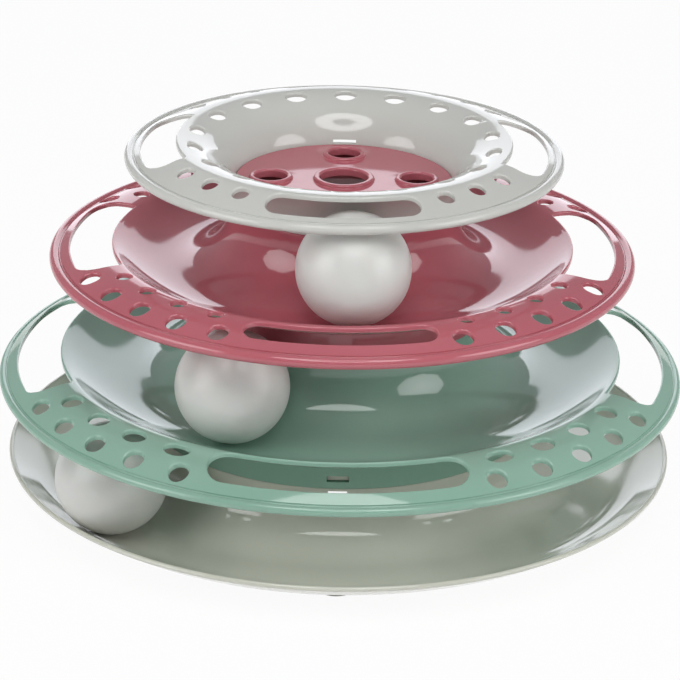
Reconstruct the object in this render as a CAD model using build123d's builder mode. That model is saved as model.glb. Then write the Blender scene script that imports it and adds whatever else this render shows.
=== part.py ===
from build123d import *
import math
import os

os.makedirs("parts", exist_ok=True)

# Three-level ball track toy: four stacked round trays, a loose ball in each track and foot pads.
# Millimetres. The origin is on the floor under the middle, +Z up, and -Y is the front.

# Shared sizes
wall = 1.6
fit_gap = 0.3
rest_gap = 0.3
ball_diameter = 40.0
ball_wall = 1.0
edge_round = 0.5
groove_round = 0.4
groove_inset = 0.2
overrun = 12.0

# Base tray
base_hub_radius = 72.5
base_hub_round = 18.0
base_hub_wall = 4.1
base_track_inset = 29.0
base_trough_clearance = 0.6
base_wall_angle = 33.5
base_wall_length = 9.33
base_bead = 1.8

# Mint tray
mint_ball_clearance = 0.92
mint_hub_radius = 54.0
mint_hub_clearance = 3.0
mint_hub_wall = 2.6
mint_crest_reach = 1.0
mint_trough_depth = 8.6
mint_crest_round = 8.0
mint_brim_width = 22.5
mint_brim_drop = 9.0
mint_brim_bulge = 1.6
mint_bead = 3.2
mint_slot_inset = 0.5
mint_slot_band = 7.0
mint_slot_half_angle = 19.3
mint_gap_band = 7.0
mint_gap_half_angle = 22.3
mint_gap_round = 7.0
mint_outer_row_share = 0.666
mint_outer_near_length = 7.2
mint_outer_near_width = 6.6
mint_outer_far_length = 8.6
mint_outer_far_width = 5.6
mint_inner_row_share = 0.27
mint_inner_near_length = 10.0
mint_inner_near_width = 6.0
mint_inner_far_length = 7.7
mint_inner_far_width = 7.4

# Rose tray
rose_ball_clearance = 2.27
rose_hub_radius = 41.0
rose_hub_clearance = 1.0
rose_hub_wall = 2.5
rose_disc_rise = 7.4
rose_crest_reach = 6.4
rose_trough_depth = 8.4
rose_crest_round = 7.0
rose_brim_width = 22.6
rose_brim_drop = 5.6
rose_brim_bulge = 1.2
rose_bead = 4.0
rose_slot_inset = 3.2
rose_slot_band = 9.0
rose_slot_half_angle = 17.4
rose_gap_band = 7.5
rose_gap_half_angle = 21.7
rose_gap_round = 7.5
rose_outer_row_share = 0.598
rose_outer_hole_diameter = 7.2
rose_inner_row_share = 0.17
rose_inner_hole_diameter = 5.3

# Holes with raised lips in the rose disc
middle_hole_diameter = 17.1
middle_lip_diameter = 21.7
side_hole_diameter = 11.5
side_lip_diameter = 15.6
side_hole_radius = 26.3
lip_height = 1.3
lip_round = 0.9

# Top ring
top_headroom = 6.3
top_flare_width = 20.6
top_crest_round = 16.0
top_brim_width = 18.8
top_brim_drop = 6.3
top_bead = 3.5
top_slot_inset = 2.3
top_slot_band = 6.5
top_slot_half_angle = 18.6
top_gap_inset = 0.3
top_gap_band = 5.8
top_gap_half_angle = 23.3
top_gap_round = 6.0
top_outer_row_share = 0.319
top_outer_hole_diameter = 6.0
top_inner_row_share = 0.704
top_inner_hole_length = 8.0
top_inner_hole_width = 5.2
top_inner_hole_count = 18
top_window_width = 8.5
top_window_height = 1.5

# Clip windows in the skirts, with a tab of the tray below in each
window_width = 7.7
window_height = 2.3
window_rise = 2.6
tab_width = 6.7
tab_height = 1.5
tab_reach = 0.7
core_hole_width = 6.7
core_hole_height = 1.5
core_hole_drop = 0.9
spigot_room = 2.3

# Foot pads under the base
foot_count = 4
foot_height = 3.8
foot_diameter = 15.0
foot_inset = 2.8
foot_seat_depth = 1.0
foot_boss_wall = 1.4
foot_round = 0.5

# Angles of the front and the back, where the slots and clips are, and of the sides
slot_turns = (-90, 90)
gap_turns = (0, 180)

# Rows of brim holes in each quadrant: first and last angle from the slot's middle, and count
mint_outer_row = (27.1, 63.3, 5)
mint_inner_row = (30.3, 59.6, 4)
rose_outer_row = (25.1, 65.2, 5)
rose_inner_row = (29.2, 60.6, 4)
top_outer_row = (32.0, 56.0, 3)

# Where the balls lie round their tracks
ball_lower_turn = 218.4
ball_middle_turn = 241.2
ball_upper_turn = 273.6

# Radii that follow, from the hubs outwards
ball_radius = ball_diameter / 2
base_floor_inner_radius = base_hub_radius + base_hub_round
base_floor_radius = base_hub_radius + base_track_inset
base_trough_radius = ball_radius + base_trough_clearance
foot_radius = base_floor_inner_radius + foot_inset
mint_bend = ball_radius + mint_hub_clearance
mint_floor_radius = mint_hub_radius + mint_bend
mint_crest_radius = base_floor_radius + mint_crest_reach
mint_rim_radius = mint_crest_radius + mint_brim_width
rose_bend = ball_radius + rose_hub_clearance
rose_floor_radius = rose_hub_radius + rose_bend
rose_crest_radius = mint_floor_radius + rose_crest_reach
rose_rim_radius = rose_crest_radius + rose_brim_width
top_skirt_inner = rose_hub_radius - wall
top_flare_radius = top_skirt_inner + top_flare_width
top_rim_radius = top_flare_radius + top_brim_width


def clear_floor(below, floor_radius, crest_radius, depth, clearance):
    """Height of a track's floor whose underside clears the ball on the track below."""
    width = crest_radius - floor_radius
    trough_radius = (width**2 + depth**2) / (2 * depth)
    reach = trough_radius + wall + ball_radius + clearance
    ball_height = below[1] + rest_gap + ball_radius
    return ball_height + math.sqrt(reach**2 - (below[0] - floor_radius) ** 2) - trough_radius


# Heights that follow, from the floor upwards
base_floor_height = foot_height + wall
base_floor = (base_floor_radius, base_floor_height)
base_shoulder_height = base_floor_height + base_hub_round + base_hub_wall
mint_floor_height = clear_floor(base_floor, mint_floor_radius, mint_crest_radius, mint_trough_depth,
                                mint_ball_clearance)
mint_floor = (mint_floor_radius, mint_floor_height)
mint_crest_height = mint_floor_height + mint_trough_depth
mint_rim_height = mint_crest_height - mint_brim_drop
mint_shoulder_height = mint_floor_height + mint_bend + mint_hub_wall
rose_floor_height = clear_floor(mint_floor, rose_floor_radius, rose_crest_radius, rose_trough_depth,
                                rose_ball_clearance)
rose_floor = (rose_floor_radius, rose_floor_height)
rose_crest_height = rose_floor_height + rose_trough_depth
rose_rim_height = rose_crest_height - rose_brim_drop
rose_shoulder_height = rose_floor_height + rose_bend + rose_hub_wall
rose_disc_height = rose_shoulder_height + rose_disc_rise
top_crest_height = rose_floor_height + ball_diameter + top_headroom
top_rim_height = top_crest_height - top_brim_drop
boss_bottom = foot_height - foot_seat_depth


def level_arc(start, end):
    """Arc that is level at its start, at a track's floor or on a crest."""
    across = end[0] - start[0]
    rise = end[1] - start[1]
    radius = (across**2 + rise**2) / (2 * rise)
    turn = math.asin(across / radius) / 2
    middle = (start[0] + radius * math.sin(turn), start[1] + radius * (1 - math.cos(turn)))
    ThreePointArc(start, middle, end)


def hub_line(hub_radius, shoulder, bend, floor_height):
    """Upright hub wall from the shoulder down, then a quarter round to the track's floor."""
    centre = (hub_radius + bend, floor_height + bend)
    middle = (centre[0] - bend * math.sin(math.pi / 4), centre[1] - bend * math.cos(math.pi / 4))
    Line((hub_radius, shoulder), (hub_radius, centre[1]))
    ThreePointArc((hub_radius, centre[1]), middle, (centre[0], floor_height))


def ring_profile(inner, outer, bottom, top):
    """Upright rectangle in the radial plane, to be turned into a ring."""
    with BuildSketch(Plane.XZ) as ring:
        with Locations(((inner + outer) / 2, (bottom + top) / 2)):
            Rectangle(outer - inner, top - bottom)
    return ring.sketch


def wall_middle(bend, floor, radius):
    """Height of the middle of a trough's wall at a radius between its hub and its floor."""
    return floor[1] + bend - math.sqrt((bend + wall / 2) ** 2 - (floor[0] - radius) ** 2)


def brim_end(crest, bead):
    """Where the upper face of a sloping brim ends, so that its end lies in the rim bead."""
    slope = math.atan2(crest[1] - bead[1] - wall / 2, bead[0] - crest[0])
    return (bead[0] + math.sin(slope) * wall / 2, bead[1] + math.cos(slope) * wall / 2)


def crest_bend(start, crest_round, bead):
    """Both ends of the straight brim after a crest that is level at its start, the second in the bead."""
    centre = (start[0], start[1] - crest_round)
    across = bead[0] - centre[0]
    rise = bead[1] - centre[1]
    turn = math.atan2(rise, across) + math.acos((crest_round - wall / 2) / math.hypot(across, rise))
    upright = (math.cos(turn), math.sin(turn))
    near_end = (centre[0] + crest_round * upright[0], centre[1] + crest_round * upright[1])
    far_end = (bead[0] + upright[0] * wall / 2, bead[1] + upright[1] * wall / 2)
    return near_end, far_end


def brim_spot(crest, rim_end, bulge, share):
    """Point on a domed brim's upper face, a share of the way from its end to the crest."""
    across = rim_end[0] - crest[0]
    drop = crest[1] - rim_end[1]
    lift = 4 * bulge * share * (1 - share) / math.hypot(across, drop)
    return (rim_end[0] - across * share + drop * lift, rim_end[1] + drop * share + across * lift)


def brim_arc(crest, rim_end, bulge):
    """Upper face of a brim, domed from the crest to its end."""
    ThreePointArc(crest, brim_spot(crest, rim_end, bulge, 1 / 2), rim_end)


def groove_spot(crest, rim_end, inset, bulge=0):
    """Point on the brim's upper face, a set distance in from its end."""
    return brim_spot(crest, rim_end, bulge, inset / math.hypot(rim_end[0] - crest[0], rim_end[1] - crest[1]))


def dot_profile(spot, dot_radius):
    """Small circle in the radial plane: a rim bead or a groove."""
    with BuildSketch(Plane.XZ) as dot:
        with Locations(spot):
            Circle(dot_radius)
    return dot.sketch


def upper_edges(edges, crest, rim_end, bulge=0):
    """The edges of a cut that lie on the brim's upper face."""

    def above_middle(edge):
        spot = edge.center()
        share = (rim_end[0] - math.hypot(spot.X, spot.Y)) / (rim_end[0] - crest[0])
        return spot.Z > brim_spot(crest, rim_end, bulge, share)[1] - wall / 2

    return edges.filter_by(above_middle)


def slots(span, half_angle, height):
    """Curved slots through the brim at the front and the back."""
    inner_radius, outer_radius = span
    with BuildSketch(Plane.XY.offset(height)) as pair:
        for turn in slot_turns:
            with BuildLine(mode=Mode.PRIVATE) as spine:
                CenterArc((0, 0), (inner_radius + outer_radius) / 2, turn - half_angle, 2 * half_angle)
            SlotArc(spine.wire(), outer_radius - inner_radius)
    return pair.sketch


def side_gaps(span, half_angle, corner_round, height):
    """Open sectors of the brim at the two sides, with rounded outer corners."""
    inner_radius, outer_radius = span
    with BuildSketch(Plane.XY.offset(height)) as pair:
        for turn in gap_turns:
            with BuildLine() as edge:
                inner = CenterArc((0, 0), inner_radius, turn - half_angle, 2 * half_angle)
                outer = CenterArc((0, 0), outer_radius, turn - half_angle, 2 * half_angle)
                Line(inner @ 0, outer @ 0)
                Line(inner @ 1, outer @ 1)
            make_face()
        middle = (inner_radius + outer_radius) / 2
        fillet(pair.vertices().filter_by(lambda v: math.hypot(v.X, v.Y) > middle), corner_round)
    return pair.sketch


def hole_rows(row_radius, row, near, far, height):
    """One row of brim holes in each quadrant, with length and width beside the slot and the side gap."""
    first, last, count = row
    with BuildSketch(Plane.XY.offset(height)) as holes:
        for turn in slot_turns:
            for hand in (-1, 1):
                for step in range(count):
                    share = step / (count - 1)
                    angle = turn + hand * (first + (last - first) * share)
                    long_radius = (near[0] + (far[0] - near[0]) * share) / 2
                    short_radius = (near[1] + (far[1] - near[1]) * share) / 2
                    spot = math.radians(angle)
                    with Locations((row_radius * math.cos(spot), row_radius * math.sin(spot))):
                        Ellipse(long_radius, short_radius, rotation=angle + 90)
    return holes.sketch


def side_blocks(inner, outer, width, height):
    """Flat rectangles at the front and the back, for windows, tabs and their channels."""
    with BuildSketch(Plane.XY.offset(height)) as blocks:
        with Locations((0, -(inner + outer) / 2), (0, (inner + outer) / 2)):
            Rectangle(width, outer - inner)
    return blocks.sketch


# Base tray: a plain trough round a hollow hub, open at the middle
slope_sine = math.sin(math.radians(base_wall_angle))
slope_cosine = math.cos(math.radians(base_wall_angle))
base_bend_end = (base_floor_radius + base_trough_radius * slope_sine,
                 base_floor_height + base_trough_radius * (1 - slope_cosine))
base_wall_end = (base_bend_end[0] + base_wall_length * slope_cosine,
                 base_bend_end[1] + base_wall_length * slope_sine)
base_bead_spot = (base_wall_end[0] + slope_sine * wall / 2, base_wall_end[1] - slope_cosine * wall / 2)
base_spigot_radius = base_hub_radius - wall - fit_gap
base_spigot_top = mint_floor_height - wall - spigot_room
base_tab_bottom = base_shoulder_height + window_rise + (window_height - tab_height) / 2
base_core_bottom = base_shoulder_height - core_hole_drop - core_hole_height
with BuildPart() as base_tray:
    with BuildSketch(Plane.XZ) as base_shell:
        with BuildLine() as base_line:
            hub_line(base_hub_radius, base_shoulder_height, base_hub_round, base_floor_height)
            Line((base_floor_inner_radius, base_floor_height), base_floor)
            level_arc(base_floor, base_bend_end)
            Line(base_bend_end, base_wall_end)
            offset(amount=wall, side=Side.RIGHT)
        make_face()
    revolve(axis=Axis.Z)
    revolve(dot_profile(base_bead_spot, base_bead / 2), axis=Axis.Z)
    shoulder_bottom = base_shoulder_height - wall
    spigot_inner = base_spigot_radius - wall
    revolve(ring_profile(spigot_inner, base_hub_radius, shoulder_bottom, base_shoulder_height), axis=Axis.Z)
    revolve(ring_profile(spigot_inner, base_spigot_radius, shoulder_bottom, base_spigot_top), axis=Axis.Z)
    tab_outer = base_spigot_radius + tab_reach
    extrude(side_blocks(spigot_inner, tab_outer, tab_width, base_tab_bottom), amount=tab_height)
    core_holes = side_blocks(spigot_inner - wall, base_hub_radius + wall, core_hole_width, base_core_bottom)
    extrude(core_holes, amount=core_hole_height, mode=Mode.SUBTRACT)
    with BuildSketch(Plane.XY.offset(boss_bottom)) as bosses:
        with PolarLocations(foot_radius, foot_count, start_angle=slot_turns[0]):
            Circle(foot_diameter / 2 + fit_gap / 2 + foot_boss_wall)
    extrude(amount=foot_seat_depth + wall)
    with BuildSketch(Plane.XY.offset(boss_bottom)) as seats:
        with PolarLocations(foot_radius, foot_count, start_angle=slot_turns[0]):
            Circle(foot_diameter / 2 + fit_gap / 2)
    extrude(amount=foot_seat_depth, mode=Mode.SUBTRACT)
base_tray.part.label = "base_tray"
export_step(base_tray.part, "parts/base_tray.step")

# Foot pads in their seats, a short way below the base
for number in range(foot_count):
    spot = math.radians(slot_turns[0] + number * 360 / foot_count)
    with BuildPart() as foot:
        with BuildSketch() as pad:
            with Locations((foot_radius * math.cos(spot), foot_radius * math.sin(spot))):
                Circle(foot_diameter / 2)
        extrude(amount=foot_height)
        fillet(foot.faces().sort_by(Axis.Z)[0].edges(), foot_round)
    foot.part.label = f"foot_{number + 1}"
    export_step(foot.part, f"parts/foot_{number + 1}.step")

# Mint tray: trough, pierced brim, and a skirt over the base's spigot
mint_crest = (mint_crest_radius, mint_crest_height)
mint_bead_spot = (mint_rim_radius - mint_bead / 2, mint_rim_height)
mint_brim_end = brim_end(mint_crest, mint_bead_spot)
mint_spigot_radius = mint_hub_radius - wall - fit_gap
mint_spigot_top = rose_floor_height - wall - spigot_room
mint_tab_bottom = mint_shoulder_height + window_rise + (window_height - tab_height) / 2
with BuildPart() as mint_tray:
    with BuildSketch(Plane.XZ) as mint_shell:
        with BuildLine() as mint_line:
            hub_line(mint_hub_radius, mint_shoulder_height, mint_bend, mint_floor_height)
            level_arc(mint_floor, mint_crest)
            brim_arc(mint_crest, mint_brim_end, mint_brim_bulge)
            offset(amount=wall, side=Side.RIGHT)
        make_face()
        fillet(mint_shell.vertices().sort_by_distance(mint_crest)[:1], mint_crest_round)
    revolve(axis=Axis.Z)
    revolve(dot_profile(mint_bead_spot, mint_bead / 2), axis=Axis.Z)
    groove = groove_spot(mint_crest, mint_brim_end, mint_bead / 2 + groove_inset, mint_brim_bulge)
    revolve(dot_profile(groove, groove_round), axis=Axis.Z, mode=Mode.SUBTRACT)
    shoulder_bottom = mint_shoulder_height - wall
    spigot_inner = mint_spigot_radius - wall
    revolve(ring_profile(spigot_inner, mint_hub_radius, shoulder_bottom, mint_shoulder_height), axis=Axis.Z)
    revolve(ring_profile(spigot_inner, mint_spigot_radius, shoulder_bottom, mint_spigot_top), axis=Axis.Z)
    tab_outer = mint_spigot_radius + tab_reach
    extrude(side_blocks(spigot_inner, tab_outer, tab_width, mint_tab_bottom), amount=tab_height)
    skirt_inner = base_hub_radius - wall
    skirt_top = wall_middle(mint_bend, mint_floor, skirt_inner + wall / 2)
    revolve(ring_profile(skirt_inner, base_hub_radius, base_shoulder_height, skirt_top), axis=Axis.Z)
    cut_bottom = mint_rim_height - overrun
    cut_height = mint_crest_height - mint_rim_height + 2 * overrun
    slot_span = (mint_crest_radius + mint_slot_inset, mint_rim_radius - mint_slot_band)
    extrude(slots(slot_span, mint_slot_half_angle, cut_bottom), amount=cut_height, mode=Mode.SUBTRACT)
    fillet(upper_edges(mint_tray.edges(Select.LAST), mint_crest, mint_brim_end, mint_brim_bulge), edge_round)
    gap_span = (mint_crest_radius, mint_rim_radius - mint_gap_band)
    extrude(side_gaps(gap_span, mint_gap_half_angle, mint_gap_round, cut_bottom),
            amount=cut_height, mode=Mode.SUBTRACT)
    near_hole = (mint_outer_near_length, mint_outer_near_width)
    far_hole = (mint_outer_far_length, mint_outer_far_width)
    row_radius = mint_crest_radius + mint_brim_width * mint_outer_row_share
    row = hole_rows(row_radius, mint_outer_row, near_hole, far_hole, cut_bottom)
    extrude(row, amount=cut_height, mode=Mode.SUBTRACT)
    fillet(upper_edges(mint_tray.edges(Select.LAST), mint_crest, mint_brim_end, mint_brim_bulge), edge_round)
    near_hole = (mint_inner_near_length, mint_inner_near_width)
    far_hole = (mint_inner_far_length, mint_inner_far_width)
    row_radius = mint_crest_radius + mint_brim_width * mint_inner_row_share
    row = hole_rows(row_radius, mint_inner_row, near_hole, far_hole, cut_bottom)
    extrude(row, amount=cut_height, mode=Mode.SUBTRACT)
    window_bottom = base_shoulder_height + window_rise
    extrude(side_blocks(skirt_inner - fit_gap, base_hub_radius + wall, window_width, window_bottom),
            amount=window_height, mode=Mode.SUBTRACT)
    channel_outer = base_spigot_radius + tab_reach + fit_gap
    extrude(side_blocks(skirt_inner - fit_gap, channel_outer, window_width, base_shoulder_height),
            amount=window_rise + window_height, mode=Mode.SUBTRACT)
mint_tray.part.label = "mint_tray"
export_step(mint_tray.part, "parts/mint_tray.step")

# Rose tray: trough, pierced brim, a skirt over the mint spigot and a pierced disc on top
rose_crest = (rose_crest_radius, rose_crest_height)
rose_bead_spot = (rose_rim_radius - rose_bead / 2, rose_rim_height)
rose_brim_end = brim_end(rose_crest, rose_bead_spot)
rose_spigot_radius = rose_hub_radius - wall - fit_gap
disc_bottom = rose_disc_height - wall
with BuildPart() as rose_tray:
    with BuildSketch(Plane.XZ) as rose_shell:
        with BuildLine() as rose_line:
            hub_line(rose_hub_radius, rose_shoulder_height, rose_bend, rose_floor_height)
            level_arc(rose_floor, rose_crest)
            brim_arc(rose_crest, rose_brim_end, rose_brim_bulge)
            offset(amount=wall, side=Side.RIGHT)
        make_face()
        fillet(rose_shell.vertices().sort_by_distance(rose_crest)[:1], rose_crest_round)
    revolve(axis=Axis.Z)
    revolve(dot_profile(rose_bead_spot, rose_bead / 2), axis=Axis.Z)
    groove = groove_spot(rose_crest, rose_brim_end, rose_bead / 2 + groove_inset, rose_brim_bulge)
    revolve(dot_profile(groove, groove_round), axis=Axis.Z, mode=Mode.SUBTRACT)
    shoulder_bottom = rose_shoulder_height - wall
    spigot_inner = rose_spigot_radius - wall
    revolve(ring_profile(spigot_inner, rose_hub_radius, shoulder_bottom, rose_shoulder_height), axis=Axis.Z)
    revolve(ring_profile(spigot_inner, rose_spigot_radius, shoulder_bottom, rose_disc_height), axis=Axis.Z)
    with BuildSketch(Plane.XY.offset(disc_bottom)) as disc:
        Circle(rose_spigot_radius)
    extrude(amount=wall)
    with BuildSketch(Plane.XY.offset(disc_bottom)) as lips:
        Circle(middle_lip_diameter / 2)
        with PolarLocations(side_hole_radius, len(slot_turns) + len(gap_turns)):
            Circle(side_lip_diameter / 2)
    extrude(amount=wall + lip_height)
    with BuildSketch(Plane.XY.offset(disc_bottom)) as lip_holes:
        Circle(middle_hole_diameter / 2)
        with PolarLocations(side_hole_radius, len(slot_turns) + len(gap_turns)):
            Circle(side_hole_diameter / 2)
    extrude(amount=wall + lip_height, mode=Mode.SUBTRACT)
    fillet(rose_tray.faces().sort_by(Axis.Z)[-len(slot_turns) - len(gap_turns) - 1:].edges(), lip_round)
    skirt_inner = mint_hub_radius - wall
    skirt_top = wall_middle(rose_bend, rose_floor, skirt_inner + wall / 2)
    revolve(ring_profile(skirt_inner, mint_hub_radius, mint_shoulder_height, skirt_top), axis=Axis.Z)
    cut_bottom = rose_rim_height - overrun
    cut_height = rose_crest_height - rose_rim_height + 2 * overrun
    slot_span = (rose_crest_radius + rose_slot_inset, rose_rim_radius - rose_slot_band)
    extrude(slots(slot_span, rose_slot_half_angle, cut_bottom), amount=cut_height, mode=Mode.SUBTRACT)
    fillet(upper_edges(rose_tray.edges(Select.LAST), rose_crest, rose_brim_end, rose_brim_bulge), edge_round)
    gap_span = (rose_crest_radius, rose_rim_radius - rose_gap_band)
    extrude(side_gaps(gap_span, rose_gap_half_angle, rose_gap_round, cut_bottom),
            amount=cut_height, mode=Mode.SUBTRACT)
    hole = (rose_outer_hole_diameter, rose_outer_hole_diameter)
    row_radius = rose_crest_radius + rose_brim_width * rose_outer_row_share
    row = hole_rows(row_radius, rose_outer_row, hole, hole, cut_bottom)
    extrude(row, amount=cut_height, mode=Mode.SUBTRACT)
    fillet(upper_edges(rose_tray.edges(Select.LAST), rose_crest, rose_brim_end, rose_brim_bulge), edge_round)
    hole = (rose_inner_hole_diameter, rose_inner_hole_diameter)
    row_radius = rose_crest_radius + rose_brim_width * rose_inner_row_share
    row = hole_rows(row_radius, rose_inner_row, hole, hole, cut_bottom)
    extrude(row, amount=cut_height, mode=Mode.SUBTRACT)
    window_bottom = mint_shoulder_height + window_rise
    extrude(side_blocks(skirt_inner - fit_gap, mint_hub_radius + wall, window_width, window_bottom),
            amount=window_height, mode=Mode.SUBTRACT)
    channel_outer = mint_spigot_radius + tab_reach + fit_gap
    extrude(side_blocks(skirt_inner - fit_gap, channel_outer, window_width, mint_shoulder_height),
            amount=window_rise + window_height, mode=Mode.SUBTRACT)
rose_tray.part.label = "rose_tray"
export_step(rose_tray.part, "parts/rose_tray.step")

# Top ring: a flared funnel over the rose disc's edge, a rounded crest and a pierced brim
top_bead_spot = (top_rim_radius - top_bead / 2, top_rim_height)
top_flare_end = (top_flare_radius, top_crest_height)
top_crest, top_brim_end = crest_bend(top_flare_end, top_crest_round, top_bead_spot)
with BuildPart() as top_ring:
    with BuildSketch(Plane.XZ) as top_shell:
        with BuildLine() as top_line:
            Line((top_skirt_inner, rose_shoulder_height), (top_skirt_inner, rose_disc_height))
            level_arc(top_flare_end, (top_skirt_inner, rose_disc_height))
            level_arc(top_flare_end, top_crest)
            Line(top_crest, top_brim_end)
            offset(amount=wall, side=Side.RIGHT)
        make_face()
    revolve(axis=Axis.Z)
    revolve(dot_profile(top_bead_spot, top_bead / 2), axis=Axis.Z)
    groove = groove_spot(top_crest, top_brim_end, top_bead / 2 + groove_inset)
    revolve(dot_profile(groove, groove_round), axis=Axis.Z, mode=Mode.SUBTRACT)
    cut_bottom = top_rim_height - overrun
    cut_height = top_crest_height - top_rim_height + 2 * overrun
    slot_span = (top_flare_radius + top_slot_inset, top_rim_radius - top_slot_band)
    extrude(slots(slot_span, top_slot_half_angle, cut_bottom), amount=cut_height, mode=Mode.SUBTRACT)
    fillet(upper_edges(top_ring.edges(Select.LAST), top_crest, top_brim_end), edge_round)
    gap_span = (top_flare_radius + top_gap_inset, top_rim_radius - top_gap_band)
    extrude(side_gaps(gap_span, top_gap_half_angle, top_gap_round, cut_bottom),
            amount=cut_height, mode=Mode.SUBTRACT)
    hole = (top_outer_hole_diameter, top_outer_hole_diameter)
    row_radius = top_flare_radius + top_brim_width * top_outer_row_share
    row = hole_rows(row_radius, top_outer_row, hole, hole, cut_bottom)
    extrude(row, amount=cut_height, mode=Mode.SUBTRACT)
    fillet(upper_edges(top_ring.edges(Select.LAST), top_crest, top_brim_end), edge_round)
    with BuildSketch(Plane.XY.offset(cut_bottom)) as inner_row:
        row_radius = top_skirt_inner + top_flare_width * top_inner_row_share
        with PolarLocations(row_radius, top_inner_hole_count, start_angle=slot_turns[0]):
            Ellipse(top_inner_hole_width / 2, top_inner_hole_length / 2)
    extrude(amount=cut_height, mode=Mode.SUBTRACT)
    window_outer = top_skirt_inner + 2 * wall
    extrude(side_blocks(top_skirt_inner - wall, window_outer, top_window_width, rose_disc_height),
            amount=top_window_height, mode=Mode.SUBTRACT)
top_ring.part.label = "top_ring"
export_step(top_ring.part, "parts/top_ring.step")

# Hollow balls, each a hair above the floor of its track, at the angles where they lie
ball_places = {
    "ball_lower": (base_floor, ball_lower_turn),
    "ball_middle": (mint_floor, ball_middle_turn),
    "ball_upper": (rose_floor, ball_upper_turn),
}
for name, (floor, turn) in ball_places.items():
    spot = math.radians(turn)
    centre = (floor[0] * math.cos(spot), floor[0] * math.sin(spot), floor[1] + rest_gap + ball_radius)
    with BuildPart() as ball:
        with Locations(centre):
            Sphere(ball_radius)
            Sphere(ball_radius - ball_wall, mode=Mode.SUBTRACT)
    ball.part.label = name
    export_step(ball.part, f"parts/{name}.step")
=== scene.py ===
import bpy
import math
from mathutils import Matrix, Vector


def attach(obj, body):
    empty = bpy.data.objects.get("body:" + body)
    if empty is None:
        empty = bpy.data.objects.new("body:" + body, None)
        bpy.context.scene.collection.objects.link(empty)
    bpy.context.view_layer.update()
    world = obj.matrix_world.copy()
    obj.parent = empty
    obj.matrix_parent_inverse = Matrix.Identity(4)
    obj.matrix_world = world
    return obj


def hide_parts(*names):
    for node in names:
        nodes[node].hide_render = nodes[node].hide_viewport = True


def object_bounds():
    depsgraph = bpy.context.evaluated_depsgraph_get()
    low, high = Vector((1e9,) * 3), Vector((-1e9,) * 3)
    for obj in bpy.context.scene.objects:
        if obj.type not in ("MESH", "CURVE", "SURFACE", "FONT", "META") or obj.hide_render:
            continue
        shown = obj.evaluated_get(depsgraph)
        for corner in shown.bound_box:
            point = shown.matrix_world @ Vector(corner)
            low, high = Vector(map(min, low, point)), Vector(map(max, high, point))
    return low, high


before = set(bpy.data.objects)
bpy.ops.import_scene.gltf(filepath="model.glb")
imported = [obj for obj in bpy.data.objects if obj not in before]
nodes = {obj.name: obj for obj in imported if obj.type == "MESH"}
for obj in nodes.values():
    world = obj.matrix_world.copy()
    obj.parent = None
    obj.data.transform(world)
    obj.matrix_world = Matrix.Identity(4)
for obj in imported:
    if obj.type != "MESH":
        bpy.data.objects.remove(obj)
cadLow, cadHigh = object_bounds()
bpy.ops.object.select_all(action="DESELECT")
print("frame loaded:", len(nodes), "nodes")

scene = bpy.context.scene
scene.view_settings.view_transform = "Standard"


def newMaterial(name):
    material = bpy.data.materials.new(name)
    material.use_nodes = True
    tree = material.node_tree
    return material, tree.nodes, tree.links, tree.nodes["Principled BSDF"]


def addNoise(nodeSet, links, coords, scale, detail):
    noise = nodeSet.new("ShaderNodeTexNoise")
    noise.inputs["Scale"].default_value = scale
    noise.inputs["Detail"].default_value = detail
    links.new(coords.outputs["Object"], noise.inputs["Vector"])
    return noise.outputs["Fac"]


def addRange(nodeSet, links, source, before, after):
    # stretches the first range over the second
    ranged = nodeSet.new("ShaderNodeMapRange")
    ranged.inputs["From Min"].default_value, ranged.inputs["From Max"].default_value = before
    ranged.inputs["To Min"].default_value, ranged.inputs["To Max"].default_value = after
    links.new(source, ranged.inputs["Value"])
    return ranged.outputs["Result"]


def addBump(nodeSet, links, source, strength, depth):
    bump = nodeSet.new("ShaderNodeBump")
    bump.inputs["Strength"].default_value = strength
    bump.inputs["Distance"].default_value = depth
    links.new(source, bump.inputs["Height"])
    return bump


def mouldedPlastic(look):
    material, nodeSet, links, shader = newMaterial(look["name"])
    coords = nodeSet.new("ShaderNodeTexCoord")
    # slight streaks of pigment
    cloud = addNoise(nodeSet, links, coords, look["cloudScale"], look["cloudDetail"])
    tone = nodeSet.new("ShaderNodeMix")
    tone.data_type = "RGBA"
    tone.inputs["A"].default_value = (*look["deep"], 1)
    tone.inputs["B"].default_value = (*look["pale"], 1)
    links.new(addRange(nodeSet, links, cloud, noiseBand, (0, 1)), tone.inputs["Factor"])
    links.new(tone.outputs["Result"], shader.inputs["Base Color"])
    # polish that varies a little
    rub = addNoise(nodeSet, links, coords, look["rubScale"], look["rubDetail"])
    links.new(addRange(nodeSet, links, rub, noiseBand, look["roughness"]), shader.inputs["Roughness"])
    # sink of the moulding in long waves, under the fine skin of the mould
    wave = addNoise(nodeSet, links, coords, look["waveScale"], look["waveDetail"])
    sink = addBump(nodeSet, links, wave, look["waveStrength"], look["waveDepth"])
    peel = addNoise(nodeSet, links, coords, look["peelScale"], look["peelDetail"])
    skin = addBump(nodeSet, links, peel, look["peelStrength"], look["peelDepth"])
    links.new(sink.outputs["Normal"], skin.inputs["Normal"])
    links.new(skin.outputs["Normal"], shader.inputs["Normal"])
    shader.inputs["IOR"].default_value = look["ior"]
    shader.inputs["Subsurface Weight"].default_value = look["glow"]
    shader.inputs["Subsurface Radius"].default_value = look["glowRadius"]
    shader.inputs["Subsurface Scale"].default_value = look["glowDepth"]
    return material


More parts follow.
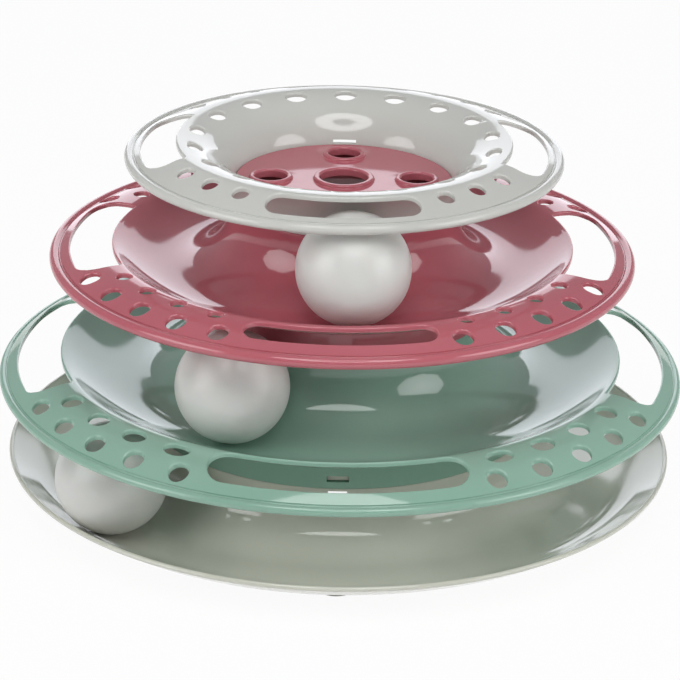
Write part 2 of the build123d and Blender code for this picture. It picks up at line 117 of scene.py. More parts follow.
# Plastics: one glossy finish for the trays in four colours, a duller one for the balls, rubber for the feet
noiseBand = (0.3, 0.7)  # where most values of a noise lie
trayFinish = {
    "cloudScale": 14, "cloudDetail": 3, "rubScale": 90, "rubDetail": 6, "roughness": (0.05, 0.09),
    "waveScale": 22, "waveDetail": 1, "waveStrength": 0.05, "waveDepth": 0.0015,
    "peelScale": 900, "peelDetail": 2, "peelStrength": 0.012, "peelDepth": 0.0001,
    "ior": 1.57, "glow": 0.0, "glowRadius": (1.0, 0.6, 0.4), "glowDepth": 0.001,
}
greige = dict(trayFinish, name="greigePlastic", deep=(0.61, 0.615, 0.535), pale=(0.65, 0.655, 0.575))
mint = dict(trayFinish, name="mintPlastic", deep=(0.25, 0.43, 0.34), pale=(0.28, 0.47, 0.375))
rose = dict(trayFinish, name="rosePlastic", deep=(0.47, 0.115, 0.145), pale=(0.52, 0.14, 0.17))
ivory = dict(trayFinish, name="ivoryPlastic", deep=(0.57, 0.575, 0.54), pale=(0.61, 0.615, 0.58))
ballSkin = dict(trayFinish, name="ballPlastic", deep=(0.66, 0.655, 0.625), pale=(0.70, 0.695, 0.665),
                roughness=(0.30, 0.38), glow=0.15, glowDepth=0.004)
footSkin = dict(trayFinish, name="footRubber", deep=(0.27, 0.28, 0.21), pale=(0.32, 0.33, 0.25),
                roughness=(0.55, 0.7), peelStrength=0.25, peelDepth=0.0003)

coats = {
    "base_tray": mouldedPlastic(greige),
    "mint_tray": mouldedPlastic(mint),
    "rose_tray": mouldedPlastic(rose),
    "top_ring": mouldedPlastic(ivory),
}
ballCoat = mouldedPlastic(ballSkin)
footCoat = mouldedPlastic(footSkin)
for name, node in nodes.items():
    coat = coats.get(name) or (ballCoat if name.startswith("ball") else footCoat)
    node.data.materials.clear()
    node.data.materials.append(coat)
print("materials set")

# Moulded trays: an outline turned round the axis, then blocks added and holes cut (sizes in millimetres)
mm = 0.001
weld = 1e-6  # metres, closes the seam of a turned outline
wall = 1.6
seam = 0.35  # rounding at the joints between trays
arcStep = math.radians(7)
smoothAngle = math.radians(22)
frontBack = (-90, 90)  # directions in degrees round the axis
leftRight = (0, 180)
quarters = (-90, 0, 90, 180)
groove = {"radius": 0.4, "inset": 0.3}  # dip in the upper face beside a bead
clip = {
    "windowWidth": 7.7, "windowHeight": 2.3, "windowRise": 2.6,
    "tabWidth": 6.7, "tabHeight": 1.5, "tabRise": 3.0, "tabReach": 0.7,
    "coreWidth": 6.7, "coreHeight": 1.5, "coreDrop": 2.4,
}
# rounded upper edge of every hole, and how far its cutter runs below and above the face
lip = {"radius": 0.7, "lastTurn": 64, "steps": 4, "below": 4, "above": 0.1, "top": 3}
holeSteps = {"oval": 40, "arc": 14, "end": 12, "corner": 9, "side": 8}


def polar(radius, degrees):
    angle = math.radians(degrees)
    return Vector((radius * math.cos(angle), radius * math.sin(angle)))


def arcPoints(centre, radius, start, end):
    steps = max(2, math.ceil(abs(end - start) / arcStep))
    angles = [start + (end - start) * step / steps for step in range(steps + 1)]
    return [centre + radius * Vector((math.cos(angle), math.sin(angle))) for angle in angles]


def roundedPath(corners):
    # corners are (distance from the axis, height, rounding)
    path = []
    for index, (radius, height, rounding) in enumerate(corners):
        here = Vector((radius, height))
        if not rounding:
            path.append(here)
            continue
        back = (Vector(corners[index - 1][:2]) - here).normalized()
        ahead = (Vector(corners[index + 1][:2]) - here).normalized()
        half = back.angle(ahead) / 2
        centre = here + (back + ahead).normalized() * rounding / math.sin(half)
        first = here + back * rounding / math.tan(half) - centre
        turn = math.pi - 2 * half
        if back.cross(ahead) > 0:
            turn = -turn
        start = math.atan2(first.y, first.x)
        path.extend(arcPoints(centre, rounding, start, start + turn))
    return path


def underneath(corners):
    # the same run of corners, one wall lower
    spots = [Vector(corner[:2]) for corner in corners]
    runs = [(after - before).normalized() for before, after in zip(spots, spots[1:])]
    rights = [Vector((run.y, -run.x)) for run in runs]
    lowered = [(*(spots[0] + rights[0] * wall), 0)]
    for index in range(1, len(spots) - 1):
        before, after = rights[index - 1], rights[index]
        spot = spots[index] + (before + after) * wall / (1 + before.dot(after))
        swell = wall if runs[index - 1].cross(runs[index]) > 0 else -wall
        lowered.append((*spot, corners[index][2] + swell))
    lowered.append((*(spots[-1] + rights[-1] * wall), 0))
    return lowered


def undersidePath(size, shell):
    # from the rim back to the inside of the hub
    lower = underneath(shell)
    lower[0] = (size["hub"] - wall, size["shoulder"] - wall, 0)
    return list(reversed(roundedPath(lower)))


def heightAt(path, radius):
    for before, after in zip(path, path[1:]):
        if min(before.x, after.x) <= radius <= max(before.x, after.x) and before.x != after.x:
            return before.y + (after.y - before.y) * (radius - before.x) / (after.x - before.x)


def rimBead(centre, along, bead):
    # round the rim from the upper face to the underside
    up = Vector((-along.y, along.x))
    start = math.pi - math.asin(wall / 2 / (bead / 2))
    circle = arcPoints(Vector((0, 0)), bead / 2, start, -start)
    return [centre + along * spot.x + up * spot.y for spot in circle]


def beadOverlap(bead):
    # from a bead's centre back to where the wall runs into it
    return math.sqrt((bead / 2) ** 2 - (wall / 2) ** 2)


def rimGroove(brimEnd, along, bead):
    up = Vector((-along.y, along.x))
    spot = brimEnd - along * (bead / 2 + groove["inset"])
    dip = arcPoints(Vector((0, 0)), groove["radius"], math.pi, 2 * math.pi)
    return [spot + along * point.x + up * point.y for point in dip]


def addSkirt(path, outer, bottom):
    inner = outer - wall
    skirt = roundedPath([(outer, heightAt(path, outer), 0), (outer, bottom, seam), (inner, bottom, 0),
                         (inner, heightAt(path, inner), 0)])
    return [spot for spot in path if spot.x > outer] + skirt + [spot for spot in path if spot.x < inner]


def shoulderPath(size):
    # from the spigot over the edge of the hub
    corners = [(size["spigot"], size["shoulder"], 0), (size["hub"], size["shoulder"], seam),
               (size["hub"], size["floor"], 0)]
    return roundedPath(corners)[:-1]


def spigotPath(size):
    # up the inside of the spigot and over its top
    inner = size["spigot"] - wall
    return [Vector((inner, size["shoulder"] - wall)), Vector((inner, size["spigotTop"])),
            Vector((size["spigot"], size["spigotTop"]))]


def brimTray(size):
    # upper path, whole outline: hub, trough, rounded crest, domed brim and beaded rim
    crest = Vector((size["crestRadius"], size["crestHeight"]))
    bead = Vector((size["beadRadius"], size["beadHeight"]))
    chord = bead + Vector((0, wall / 2)) - crest
    swell = 2 * math.atan(2 * size["bulge"] / chord.length)
    slope = swell - math.atan2(chord.y, chord.x)  # the dome is steepest at the rim
    along = Vector((math.cos(slope), -math.sin(slope)))
    brimEnd = bead + Vector((math.sin(slope), math.cos(slope))) * wall / 2
    meet = brimEnd - along * beadOverlap(size["bead"])
    domeSide = (brimEnd - crest).length / 2 / math.cos(swell)
    domeTop = brimEnd - along * domeSide
    domeRound = (domeSide - size["domeInset"]) / math.tan(swell)
    rise = math.atan2(size["crestHeight"] - size["floor"], size["crestRadius"] - size["wallFoot"])
    floorEnd = size["hub"] + size["hubRound"]
    troughRound = (size["wallFoot"] - floorEnd) / math.tan(rise / 2)
    shell = [(size["hub"], size["shoulder"], 0), (size["hub"], size["floor"], size["hubRound"]),
             (size["wallFoot"], size["floor"], troughRound),
             (*crest, size["crestRound"]), (*domeTop, domeRound), (*meet, 0)]
    upper = roundedPath(shell)
    lower = addSkirt(undersidePath(size, shell), size["skirt"], size["skirtBottom"])
    rim = rimGroove(brimEnd, along, size["bead"]) + rimBead(bead, along, size["bead"])
    return [spot for spot in upper if spot.x >= floorEnd], upper[1:-1] + rim + lower[1:]


def turnOutline(name, outline, steps):
    bpy.ops.object.select_all(action="DESELECT")
    bpy.ops.mesh.primitive_circle_add(vertices=len(outline), radius=1)
    piece = bpy.context.object
    piece.name = name
    for vertex, spot in zip(piece.data.vertices, outline):
        vertex.co = (spot.x * mm, 0, spot.y * mm)
    bpy.ops.object.mode_set(mode="EDIT")
    bpy.ops.mesh.select_all(action="SELECT")
    bpy.ops.mesh.spin(steps=steps, angle=2 * math.pi, center=(0, 0, 0), axis=(0, 0, 1))
    bpy.ops.mesh.select_all(action="SELECT")
    bpy.ops.mesh.remove_doubles(threshold=weld)
    bpy.ops.mesh.normals_make_consistent(inside=False)
    bpy.ops.object.mode_set(mode="OBJECT")
    return piece


def moveTo(piece, place):
    piece.location = (*(place * mm), 0)
    bpy.ops.object.transform_apply(location=True)


def selectOnly(piece):
    bpy.ops.object.select_all(action="DESELECT")
    piece.select_set(True)
    bpy.context.view_layer.objects.active = piece


def combine(piece, tools, operation):
    # one Boolean with all the tools joined
    selectOnly(tools[0])
    for tool in tools:
        tool.select_set(True)
    bpy.ops.object.join()
    joined = bpy.context.object
    selectOnly(piece)
    cut = piece.modifiers.new("cut", "BOOLEAN")
    cut.operation = operation
    cut.object = joined
    cut.solver = "MANIFOLD"
    bpy.ops.object.modifier_apply(modifier=cut.name)
    bpy.data.objects.remove(joined)


prisms = {}


def stackedPrism(count, levels):
    # closed prism with a ring of points at each level, copied for every hole
    key = (count, levels)
    if key not in prisms:
        bpy.ops.object.select_all(action="DESELECT")
        bpy.ops.mesh.primitive_circle_add(vertices=count, radius=1, fill_type="NGON")
        prisms[key] = bpy.context.object
        bpy.ops.object.mode_set(mode="EDIT")
        bpy.ops.mesh.select_all(action="SELECT")
        for level in range(levels - 1):
            bpy.ops.mesh.extrude_region_move(TRANSFORM_OT_translate={"value": (0, 0, 1)})
        bpy.ops.mesh.select_all(action="SELECT")
        bpy.ops.mesh.normals_make_consistent(inside=False)
        bpy.ops.object.mode_set(mode="OBJECT")
    prism = prisms[key].copy()
    prism.data = prisms[key].data.copy()
    scene.collection.objects.link(prism)
    return prism


def lippedCutter(outline, upper):
    # upright cutter that flares into a rounded lip where it leaves the upper face
    turns = [math.radians(lip["lastTurn"] * step / lip["steps"]) for step in range(lip["steps"] + 1)]
    levels = [(-lip["below"], 0)]
    levels += [(lip["radius"] * (math.sin(turn) - 1), lip["radius"] * (1 - math.cos(turn))) for turn in turns]
    lastDrop, lastOffset = levels[-1]
    flare = lastOffset + (lip["above"] - lastDrop) * math.tan(turns[-1])
    levels += [(lip["above"], flare), (lip["top"], flare)]
    rings = []
    for drop, offset in levels:
        rings.append([(spot, heightAt(upper, spot.length) + drop) for spot in outline(offset)])
    count = len(rings[0])
    cutter = stackedPrism(count, len(levels))
    for vertex in cutter.data.vertices:
        share = math.atan2(vertex.co.y, vertex.co.x) / (2 * math.pi)
        spot, height = rings[round(vertex.co.z)][round(share * count) % count]
        vertex.co = (spot.x * mm, spot.y * mm, height * mm)
    return cutter


def pierce(piece, shapes, upper):
    combine(piece, [lippedCutter(shape, upper) for shape in shapes], "DIFFERENCE")


def ovalHole(radius, degrees, length, width):
    # long side along the row
    middle = polar(radius, degrees)
    along, across = polar(1, degrees + 90), polar(-1, degrees)

    def outline(offset):
        spots = []
        for step in range(holeSteps["oval"]):
            turn = 2 * math.pi * step / holeSteps["oval"]
            spot = Vector((length * math.cos(turn), width * math.sin(turn))) / 2
            out = Vector((width * math.cos(turn), length * math.sin(turn))).normalized()
            spot += out * offset
            spots.append(middle + along * spot.x + across * spot.y)
        return spots
    return outline


def curvedSlot(inner, outer, halfAngle, degrees):
    # long slot with round ends
    middle = (inner + outer) / 2
    arc, ends = holeSteps["arc"], holeSteps["end"]

    def outline(offset):
        half = (outer - inner) / 2 + offset
        spots = []
        for hand, turned in ((1, 0), (-1, 180)):
            end = degrees + hand * halfAngle
            spots += [polar(middle + hand * half, degrees + hand * halfAngle * share / arc)
                      for share in range(-arc, arc + 1)]
            spots += [polar(middle, end) + polar(half, end + turned + 180 * step / ends)
                      for step in range(1, ends)]
        return spots
    return outline


def sideGap(inner, outer, halfAngle, cornerRound, degrees):
    # open sector with rounded outer corners
    inset = math.degrees(math.asin(cornerRound / (outer - cornerRound)))
    cornerAngle = halfAngle - inset
    sweep = 90 + inset
    arc, turns, length = holeSteps["arc"], holeSteps["corner"], holeSteps["side"]

    def innerEdge(offset):
        # radius and half angle of the inner arc
        near = inner - offset
        return near, halfAngle + math.degrees(math.asin(offset / near))

    def side(hand, offset, shares):
        near, wide = innerEdge(offset)
        start = polar(near, degrees + hand * wide)
        foot = polar((outer - cornerRound) * math.cos(math.radians(inset)), degrees + hand * halfAngle)
        end = foot + polar(offset, degrees + hand * (halfAngle + 90))
        return [start.lerp(end, share / length) for share in shares]

    def corner(middleAngle, firstAngle, offset):
        middle = polar(outer - cornerRound, middleAngle)
        return [middle + polar(cornerRound + offset, firstAngle + sweep * step / turns)
                for step in range(turns)]

    def outline(offset):
        near, wide = innerEdge(offset)
        left, right = degrees + cornerAngle, degrees - cornerAngle
        spots = [polar(outer + offset, degrees + cornerAngle * share / arc) for share in range(-arc, arc)]
        spots += corner(left, left, offset) + side(1, offset, range(length, 0, -1))
        spots += [polar(near, degrees - wide * share / arc) for share in range(-arc, arc)]
        return spots + side(-1, offset, range(length)) + corner(right, right - sweep, offset)
    return outline


def brimHoles(size):
    # outlines of every opening in a brim, at the front, the back and the sides
    shapes = []
    for degrees in frontBack:
        shapes.append(curvedSlot(*size["slot"], degrees))
        for row in size["rows"]:
            for hand in (-1, 1):
                for step in range(row["count"]):
                    share = step / (row["count"] - 1)
                    angle = degrees + hand * (row["first"] + (row["last"] - row["first"]) * share)
                    length = row["near"][0] + (row["far"][0] - row["near"][0]) * share
                    width = row["near"][1] + (row["far"][1] - row["near"][1]) * share
                    shapes.append(ovalHole(row["radius"], angle, length, width))
    for degrees in leftRight:
        shapes.append(sideGap(*size["gap"], degrees))
    return shapes


def blockPair(width, inner, outer, bottom, height):
    # the same box at the front and the back of a tray, facing outwards
    top = bottom + height
    boxes = []
    for degrees in frontBack:
        bpy.ops.object.select_all(action="DESELECT")
        bpy.ops.mesh.primitive_cube_add(size=1)
        box = bpy.context.object
        box.scale = ((outer - inner) * mm, width * mm, (top - bottom) * mm)
        box.location = (*(polar((inner + outer) / 2, degrees) * mm), (bottom + top) / 2 * mm)
        box.rotation_euler = (0, 0, math.radians(degrees))
        bpy.ops.object.transform_apply(location=True, rotation=True, scale=True)
        boxes.append(box)
    return boxes


def clipTabs(size):
    return blockPair(clip["tabWidth"], size["spigot"] - wall / 2, size["spigot"] + clip["tabReach"],
                     size["shoulder"] + clip["tabRise"], clip["tabHeight"])


def cutWindows(piece, size):
    windows = blockPair(clip["windowWidth"], size["skirt"] - 2 * wall, size["skirt"] + wall,
                        size["skirtBottom"] + clip["windowRise"], clip["windowHeight"])
    combine(piece, windows, "DIFFERENCE")


def finishTray(piece, body, coat):
    piece.data.materials.clear()
    piece.data.materials.append(coat)
    selectOnly(piece)
    bpy.ops.object.shade_smooth_by_angle(angle=smoothAngle)
    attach(piece, body)
    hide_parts(piece.name.replace("Moulding", ""))


# Base tray: plain trough round a hollow hub, with a short ring round each foot pad
baseSize = {
    "hub": 72.5, "shoulder": 27.5, "hubRound": 18, "floor": 5.4, "floorEnd": 101.5, "troughRound": 20.6,
    "wallAngle": 33.5, "beadRadius": 121.09, "beadHeight": 13.3, "bead": 1.8,
    "spigot": 70.6, "spigotTop": 39.5, "steps": 288,
    "footRadius": 93.3, "footSeat": 7.65, "footBoss": 9.05, "footBossBottom": 2.8, "footSides": 48,
}


def footBosses(size):
    top, bottom = size["floor"] - wall / 2, size["footBossBottom"]
    ring = [Vector((size["footSeat"], top)), Vector((size["footBoss"], top)),
            Vector((size["footBoss"], bottom)), Vector((size["footSeat"], bottom))]
    bosses = []
    for degrees in quarters:
        boss = turnOutline("footBoss", ring, size["footSides"])
        moveTo(boss, polar(size["footRadius"], degrees))
        bosses.append(boss)
    return bosses


def makeBase(size):
    slope = math.radians(size["wallAngle"])
    along = Vector((math.cos(slope), math.sin(slope)))
    bead = Vector((size["beadRadius"], size["beadHeight"]))
    meet = bead - along * beadOverlap(size["bead"])
    meet += Vector((-along.y, along.x)) * wall / 2
    wallFoot = size["floorEnd"] + size["troughRound"] * math.tan(slope / 2)
    shell = [(size["hub"], size["shoulder"], 0), (size["hub"], size["floor"], size["hubRound"]),
             (wallFoot, size["floor"], size["troughRound"]), (*meet, 0)]
    outline = shoulderPath(size) + roundedPath(shell)[1:-1] + rimBead(bead, along, size["bead"])
    outline += undersidePath(size, shell)[1:] + spigotPath(size)
    piece = turnOutline("base_trayMoulding", outline, size["steps"])
    combine(piece, clipTabs(size) + footBosses(size), "UNION")
    cores = blockPair(clip["coreWidth"], size["hub"] - 2 * wall, size["hub"] + wall,
                      size["shoulder"] - clip["coreDrop"], clip["coreHeight"])
    combine(piece, cores, "DIFFERENCE")
    finishTray(piece, "base", coats["base_tray"])


# Mint tray: trough, pierced brim, and a skirt over the base's hub
mintSize = {
    "hub": 54, "shoulder": 69, "hubRound": 23, "floor": 43.4, "wallFoot": 88.5,
    "crestRadius": 102.5, "crestHeight": 52, "crestRound": 8, "bulge": 1.6, "domeInset": 4,
    "beadRadius": 123.4, "beadHeight": 43, "bead": 3.2, "skirt": 72.5, "skirtBottom": 27.5,
    "spigot": 52.1, "spigotTop": 81.6, "steps": 288,
    "slot": (103, 118, 19.3), "gap": (102.5, 118, 22.3, 7),
    "rows": [
        {"radius": 117.5, "first": 27.1, "last": 63.3, "count": 5, "near": (7.2, 6.6), "far": (8.6, 5.6)},
        {"radius": 108.6, "first": 30.3, "last": 59.6, "count": 4, "near": (10, 6), "far": (7.7, 7.4)},
    ],
}


def makeMint(size):
    upper, outline = brimTray(size)
    outline = shoulderPath(size) + outline + spigotPath(size)
    piece = turnOutline("mint_trayMoulding", outline, size["steps"])
    combine(piece, clipTabs(size), "UNION")
    pierce(piece, brimHoles(size), upper)
    cutWindows(piece, size)
    finishTray(piece, "mint_tray", coats["mint_tray"])


# Rose tray: like the mint one, closed by a disc whose five holes have raised lips
roseSize = {
    "hub": 41, "shoulder": 109, "hubRound": 21, "floor": 85.5, "wallFoot": 71.8,
    "crestRadius": 83.4, "crestHeight": 93.9, "crestRound": 7, "bulge": 1.2, "domeInset": 4,
    "beadRadius": 104, "beadHeight": 88.3, "bead": 4, "skirt": 54, "skirtBottom": 69,
    "spigot": 39.1, "disc": 116.4, "steps": 288,
    "middleHole": 8.55, "middleLip": 10.85, "sideHole": 5.75, "sideLip": 7.8, "sideRadius": 26.3,
    "lipHeight": 1.3, "lipRound": 0.9, "lipFoot": 0.5, "lipApron": 1.5,
    "holeSides": 64, "roomGap": 0.4, "roomDepth": 8, "sunk": 0.05,
    "slot": (86.6, 97, 17.4), "gap": (83.4, 98.5, 21.7, 7.5),
    "rows": [
        {"radius": 96.9, "first": 25.1, "last": 65.2, "count": 5, "near": (7.2, 7.2), "far": (7.2, 7.2)},
        {"radius": 87.2, "first": 29.2, "last": 60.6, "count": 4, "near": (5.3, 5.3), "far": (5.3, 5.3)},
    ],
}


def lipPath(size, outer, inner):
    # from the disc over the raised lip and into the hole
    top = size["disc"] + size["lipHeight"]
    return roundedPath([(outer + size["lipApron"], size["disc"], 0), (outer, size["disc"], size["lipFoot"]),
                        (outer, top, size["lipHeight"] - size["lipFoot"]), (inner, top, size["lipRound"]),
                        (inner, size["disc"] - wall, 0)])


def makeSideHoles(piece, size):
    # room is cut for each small hole, and a lipped ring put into it
    over = lipPath(size, size["sideLip"], size["sideHole"])
    face = size["disc"] - size["sunk"]
    back = size["disc"] - wall - size["sunk"]
    under = [Vector((size["sideHole"], back)), Vector((over[1].x, back)), Vector((over[1].x, face))]
    room, rings = [], []
    for degrees in quarters:
        place = polar(size["sideRadius"], degrees)
        bpy.ops.object.select_all(action="DESELECT")
        bpy.ops.mesh.primitive_cylinder_add(
            vertices=size["holeSides"], radius=(size["sideHole"] + size["roomGap"]) * mm,
            depth=size["roomDepth"] * mm, location=(*(place * mm), size["disc"] * mm))
        bpy.ops.object.transform_apply(location=True)
        room.append(bpy.context.object)
        ring = turnOutline("discLip", over[1:-1] + under, size["holeSides"])
        moveTo(ring, place)
        rings.append(ring)
    combine(piece, room, "DIFFERENCE")
    combine(piece, rings, "UNION")


def makeRose(size):
    upper, outline = brimTray(size)
    spigotInner = size["spigot"] - wall
    disc = [Vector((spigotInner, size["shoulder"] - wall)), Vector((spigotInner, size["disc"] - wall))]
    disc += list(reversed(lipPath(size, size["middleLip"], size["middleHole"])))
    edge = roundedPath([(size["sideRadius"], size["disc"], 0), (size["spigot"], size["disc"], seam),
                        (size["spigot"], size["shoulder"], 0), (size["hub"], size["shoulder"], seam),
                        (size["hub"], size["floor"], 0)])[:-1]
    piece = turnOutline("rose_trayMoulding", disc + edge + outline, size["steps"])
    makeSideHoles(piece, size)
    pierce(piece, brimHoles(size), upper)
    cutWindows(piece, size)
    finishTray(piece, "rose_tray", coats["rose_tray"])


# Top ring: a funnel that flares over the disc's edge into a rounded crest and a pierced brim
topSize = {
    "skirt": 39.4, "skirtBottom": 109, "flareFoot": 116.4, "flareEnd": 60,
    "crestHeight": 131.8, "crestRound": 16, "beadRadius": 77.05, "beadHeight": 125.5, "bead": 3.5,
    "windowWidth": 8.5, "windowHeight": 1.5, "steps": 240,
    "slot": (62.3, 72.3, 18.6), "gap": (60.3, 73, 23.3, 6),
    "rows": [{"radius": 66, "first": 32, "last": 56, "count": 3, "near": (6, 6), "far": (6, 6)}],
    "ovalRadius": 53.9, "ovalCount": 18, "ovalFirst": -90, "oval": (8, 5.2),
}


def makeTop(size):
    across = size["flareEnd"] - size["skirt"]
    drop = size["crestHeight"] - size["flareFoot"]
    flareRound = (across ** 2 + drop ** 2) / (2 * drop)
    flareTurn = math.asin(across / flareRound)
    flareCentre = Vector((size["flareEnd"], size["crestHeight"] - flareRound))
    crestCentre = Vector((size["flareEnd"], size["crestHeight"] - size["crestRound"]))
    bead = Vector((size["beadRadius"], size["beadHeight"]))
    reach = bead - crestCentre
    lean = math.atan2(reach.y, reach.x) + math.acos((size["crestRound"] - wall / 2) / reach.length)
    up = Vector((math.cos(lean), math.sin(lean)))
    along = Vector((up.y, -up.x))
    brimEnd = bead + up * wall / 2
    level = math.pi / 2
    upper = arcPoints(flareCentre, flareRound, level + flareTurn, level)
    upper += arcPoints(crestCentre, size["crestRound"], level, lean)[1:]
    lower = arcPoints(crestCentre, size["crestRound"] - wall, lean, level)
    lower += arcPoints(flareCentre, flareRound - wall, level, level + flareTurn)[1:]
    skirtOuter = size["skirt"] + wall
    lower = [spot for spot in lower if spot.x > skirtOuter]
    skirt = roundedPath([(skirtOuter, size["flareFoot"] - wall, 0), (skirtOuter, size["skirtBottom"], seam),
                         (size["skirt"], size["skirtBottom"], 0)])
    rim = rimGroove(brimEnd, along, size["bead"]) + rimBead(bead, along, size["bead"])
    piece = turnOutline("top_ringMoulding", upper + rim + lower + skirt, size["steps"])
    shapes = brimHoles(size)
    for number in range(size["ovalCount"]):
        degrees = size["ovalFirst"] + number * 360 / size["ovalCount"]
        shapes.append(ovalHole(size["ovalRadius"], degrees, *size["oval"]))
    pierce(piece, shapes, upper + [brimEnd - along * beadOverlap(size["bead"])])
    windows = blockPair(size["windowWidth"], size["skirt"] - wall, size["skirt"] + 3 * wall,
                        size["flareFoot"], size["windowHeight"])
    combine(piece, windows, "DIFFERENCE")
    finishTray(piece, "top_ring", coats["top_ring"])


makeBase(baseSize)
print("base tray made")
makeMint(mintSize)
print("mint tray made")
makeRose(roseSize)
print("rose tray made")
makeTop(topSize)
print("top ring made")
for prism in prisms.values():
    bpy.data.objects.remove(prism)

# Studio: pale floor and a surround that is dim towards the camera's side and bright behind (sizes in metres)
studio = {
    "floorSize": 8.0, "floorDrop": 0.0002, "floorColor": (0.9, 0.9, 0.9), "floorRoughness": 0.8,
    "floorShine": 0.1, "whiten": 0.94,
    "fade": (-0.6, 0.6), "frontBack": (0.14, 0.38), "tint": (0.95, 0.96, 1.0),
}
# Lamps: two eight-sided soft boxes in front, a ring lamp over the camera and a bright panel behind
boxLeft = {
    "name": "softBoxLeft", "sides": 8, "radius": 0.40, "hole": 0, "distance": 1.2,
    "turn": -61, "tilt": 19, "edge": 3.0, "middle": 4.4, "color": (1, 1, 1),
}
boxRight = dict(boxLeft, name="softBoxRight", turn=61)
ringLamp = dict(boxLeft, name="ringLamp", sides=48, radius=0.42, hole=0.155, turn=2, tilt=62,
                edge=4.5, middle=4.5)
backPanel = dict(boxLeft, name="backPanel", sides=4, radius=1, distance=1.5, turn=180, tilt=11.3,
                 edge=2.3, middle=2.3, width=1.1, height=0.714, color=(0.92, 0.94, 1.0))


def anyRay(tree, kinds):
    # 1 for a ray of any of these kinds, else 0
    path = tree.nodes.new("ShaderNodeLightPath")
    found = path.outputs[kinds[0]]
    for kind in kinds[1:]:
        most = tree.nodes.new("ShaderNodeMath")
        most.operation = "MAXIMUM"
        tree.links.new(found, most.inputs[0])
        tree.links.new(path.outputs[kind], most.inputs[1])
        found = most.outputs[0]
    return found


def blendSurface(tree, share, under, over, output):
    blend = tree.nodes.new("ShaderNodeMixShader")
    tree.links.new(share, blend.inputs["Fac"])
    tree.links.new(under, blend.inputs[1])
    tree.links.new(over, blend.inputs[2])
    tree.links.new(blend.outputs["Shader"], tree.nodes[output].inputs["Surface"])


def makeFloor(setup):
    height = cadLow.z - setup["floorDrop"]
    bpy.ops.mesh.primitive_plane_add(size=setup["floorSize"], location=(0, 0, height))
    floor = bpy.context.object
    floor.name = "floor"
    material, nodeSet, links, shader = newMaterial("paleFloor")
    shader.inputs["Base Color"].default_value = (*setup["floorColor"], 1)
    shader.inputs["Roughness"].default_value = setup["floorRoughness"]
    shader.inputs["Specular IOR Level"].default_value = setup["floorShine"]
    # nearly white where it is seen, also in a reflection
    seen = anyRay(material.node_tree, ("Is Camera Ray", "Is Transmission Ray", "Is Glossy Ray"))
    share = nodeSet.new("ShaderNodeMath")
    share.operation = "MULTIPLY"
    share.inputs[1].default_value = setup["whiten"]
    links.new(seen, share.inputs[0])
    white = nodeSet.new("ShaderNodeEmission")
    blendSurface(material.node_tree, share.outputs[0], shader.outputs["BSDF"], white.outputs["Emission"],
                 "Material Output")
    floor.data.materials.append(material)


def makeSurround(setup):
    world = bpy.data.worlds.new("surround")
    scene.world = world
    world.use_nodes = True
    tree = world.node_tree
    coords = tree.nodes.new("ShaderNodeTexCoord")
    split = tree.nodes.new("ShaderNodeSeparateXYZ")
    tree.links.new(coords.outputs["Generated"], split.inputs["Vector"])
    strength = addRange(tree.nodes, tree.links, split.outputs["Y"], setup["fade"], setup["frontBack"])
    light = tree.nodes["Background"]
    light.inputs["Color"].default_value = (*setup["tint"], 1)
    tree.links.new(strength, light.inputs["Strength"])
    white = tree.nodes.new("ShaderNodeBackground")
    white.inputs["Color"].default_value = (1, 1, 1, 1)
    seen = anyRay(tree, ("Is Camera Ray", "Is Transmission Ray"))
    blendSurface(tree, seen, light.outputs["Background"], white.outputs["Background"], "World Output")


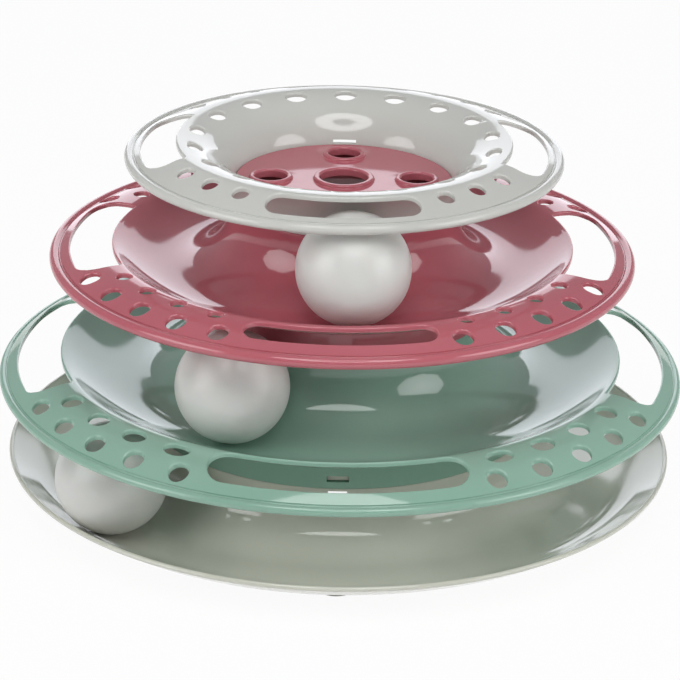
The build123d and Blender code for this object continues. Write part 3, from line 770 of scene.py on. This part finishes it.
def makeLamp(lamp):
    aim = Vector((0, 0, cadHigh.z / 2))
    turn, tilt = math.radians(lamp["turn"]), math.radians(lamp["tilt"])
    flat = math.cos(tilt)
    outwards = Vector((math.sin(turn) * flat, -math.cos(turn) * flat, math.sin(tilt)))
    place = aim + lamp["distance"] * outwards
    bpy.ops.mesh.primitive_circle_add(vertices=lamp["sides"], radius=lamp["radius"], fill_type="NGON")
    panel = bpy.context.object
    panel.name = lamp["name"]
    if lamp["hole"]:
        bpy.ops.object.mode_set(mode="EDIT")
        bpy.ops.mesh.select_all(action="SELECT")
        bpy.ops.mesh.inset(thickness=lamp["radius"] - lamp["hole"])
        bpy.ops.mesh.delete(type="FACE")
        bpy.ops.object.mode_set(mode="OBJECT")
    if "width" in lamp:
        # the four corners of an upright rectangle
        for vertex in panel.data.vertices:
            vertex.co = (math.copysign(lamp["width"] / 2, vertex.co.x - vertex.co.y),
                         math.copysign(lamp["height"] / 2, vertex.co.x + vertex.co.y), 0)
    facing = (aim - place).to_track_quat("-Z", "Y").to_matrix().to_4x4()
    panel.matrix_world = Matrix.Translation(place) @ facing
    panel.visible_camera = False
    material, nodeSet, links, _ = newMaterial(lamp["name"] + "Light")
    coords = nodeSet.new("ShaderNodeTexCoord")
    ball = nodeSet.new("ShaderNodeTexGradient")  # 1 in the middle, falling with the distance in metres
    ball.gradient_type = "SPHERICAL"
    links.new(coords.outputs["Object"], ball.inputs["Vector"])
    strength = addRange(nodeSet, links, ball.outputs["Fac"], (1 - lamp["radius"], 1),
                        (lamp["edge"], lamp["middle"]))
    light = nodeSet.new("ShaderNodeEmission")
    light.inputs["Color"].default_value = (*lamp["color"], 1)
    links.new(strength, light.inputs["Strength"])
    links.new(light.outputs["Emission"], nodeSet["Material Output"].inputs["Surface"])
    panel.data.materials.append(material)


makeFloor(studio)
makeSurround(studio)
for lamp in (boxLeft, boxRight, ringLamp, backPanel):
    makeLamp(lamp)
print("studio set")

# Camera at the photograph's viewing angle (metres, degrees, and millimetres for the lens)
shot = {
    "distance": 1.01868, "height": 0.47468, "pitch": 22.449, "yaw": 0.013, "roll": 1.141,
    "lens": 158.72, "sensor": 36,
}


def makeCamera(setup):
    data = bpy.data.cameras.new("camera")
    data.lens = setup["lens"]
    data.sensor_width = setup["sensor"]
    camera = bpy.data.objects.new("camera", data)
    scene.collection.objects.link(camera)
    turn = Matrix.Rotation(math.radians(setup["yaw"]), 4, "Z")
    tilt = Matrix.Rotation(math.radians(90 - setup["pitch"]), 4, "X")
    lean = Matrix.Rotation(math.radians(setup["roll"]), 4, "Z")
    place = Matrix.Translation((0, -setup["distance"], setup["height"]))
    camera.matrix_world = place @ turn @ tilt @ lean
    scene.camera = camera


makeCamera(shot)
print("camera set")
